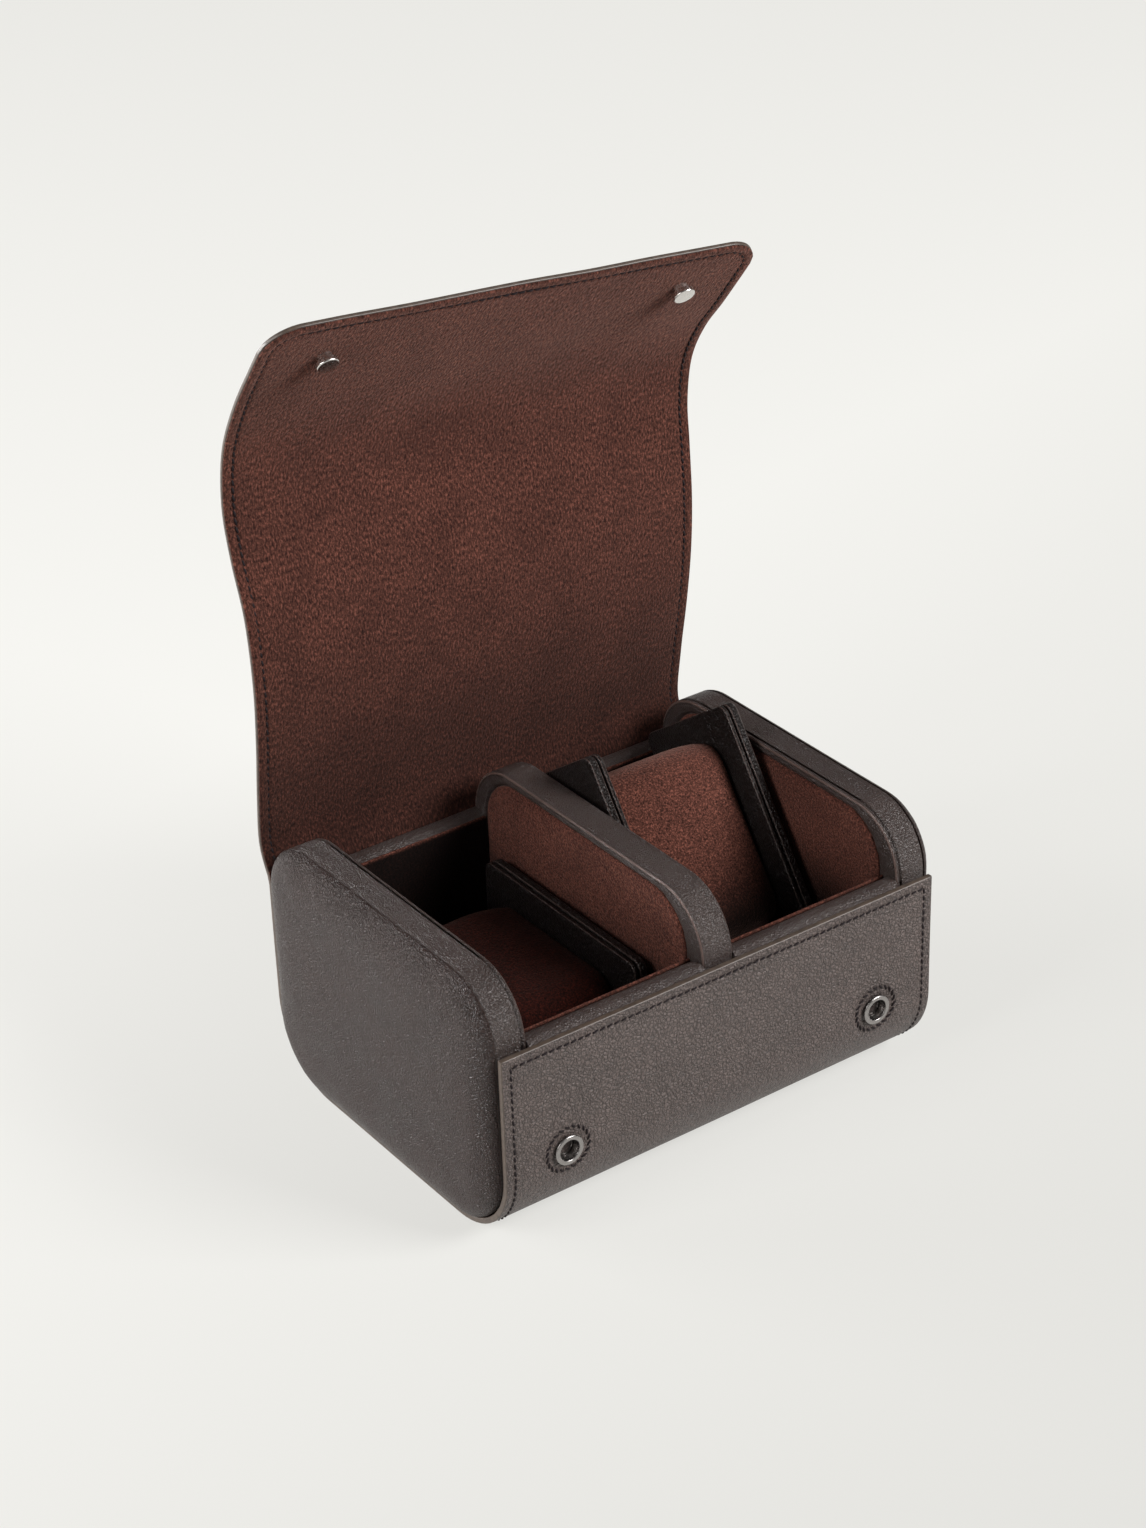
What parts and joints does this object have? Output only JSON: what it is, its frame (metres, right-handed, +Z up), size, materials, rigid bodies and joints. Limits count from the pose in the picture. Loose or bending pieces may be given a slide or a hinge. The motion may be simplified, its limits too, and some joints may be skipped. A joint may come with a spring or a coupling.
{
  "type": "watch roll",
  "caption": "Rectangular leather case with rounded padded ends, a suede-lined flap with press studs, a divider and tilting watch cushions.",
  "frame": {"origin": "centre of the flat base of the leather cover", "axes": "+X to the right along the case's width, -Y out of the front panel with the sockets, +Z up along the opened flap"},
  "size_m": [0.2118, 0.1686, 0.3219],
  "materials": {
    "cover_leather": "dark brown grained leather, semi-matt",
    "pad_leather": "dark brown soft padded leather with a fine grain and a soft sheen",
    "rim_leather": "dark brown smooth leather wrapped round board",
    "plate_leather": "black-brown leather over stiff board",
    "suede": "red-brown microfibre suede with a short nap",
    "nickel": "polished nickel"
  },
  "bodies": {
    "case": {"cover_leather": "cover_leather", "tray_shell_left": "rim_leather", "tray_shell_right": "rim_leather", "tray_lining_left": "suede", "tray_lining_right": "suede", "end_board_left": "rim_leather", "end_board_right": "rim_leather", "end_pad_left": "pad_leather", "end_pad_right": "pad_leather", "end_lining_left": "suede", "end_lining_right": "suede", "divider_board": "rim_leather", "divider_lining_left": "suede", "divider_lining_right": "suede", "snap_socket_left": "nickel", "snap_socket_right": "nickel", "snap_spring_left": "nickel", "snap_spring_right": "nickel", "snap_washer_left": "nickel", "snap_washer_right": "nickel", "cushion_left_pillow": "suede", "cushion_left_inner_plate_left": "plate_leather", "cushion_left_outer_plate_left": "plate_leather", "cushion_left_inner_plate_right": "plate_leather", "cushion_left_outer_plate_right": "plate_leather", "cushion_right_pillow": "suede", "cushion_right_inner_plate_left": "plate_leather", "cushion_right_outer_plate_left": "plate_leather", "cushion_right_inner_plate_right": "plate_leather", "cushion_right_outer_plate_right": "plate_leather"},
    "lid": {"flap_leather": "cover_leather", "flap_lining": "suede", "snap_stud_left": "nickel", "snap_stud_right": "nickel", "stud_cap_left": "nickel", "stud_cap_right": "nickel"}
  },
  "joints": [
    {"name": "lid_hinge", "type": "hinge", "parent": "case", "child": "lid", "pos_m": [0, 0.04955, 0.0856], "axis": [1, 0, 0], "range_deg": [0, 68]}
  ]
}
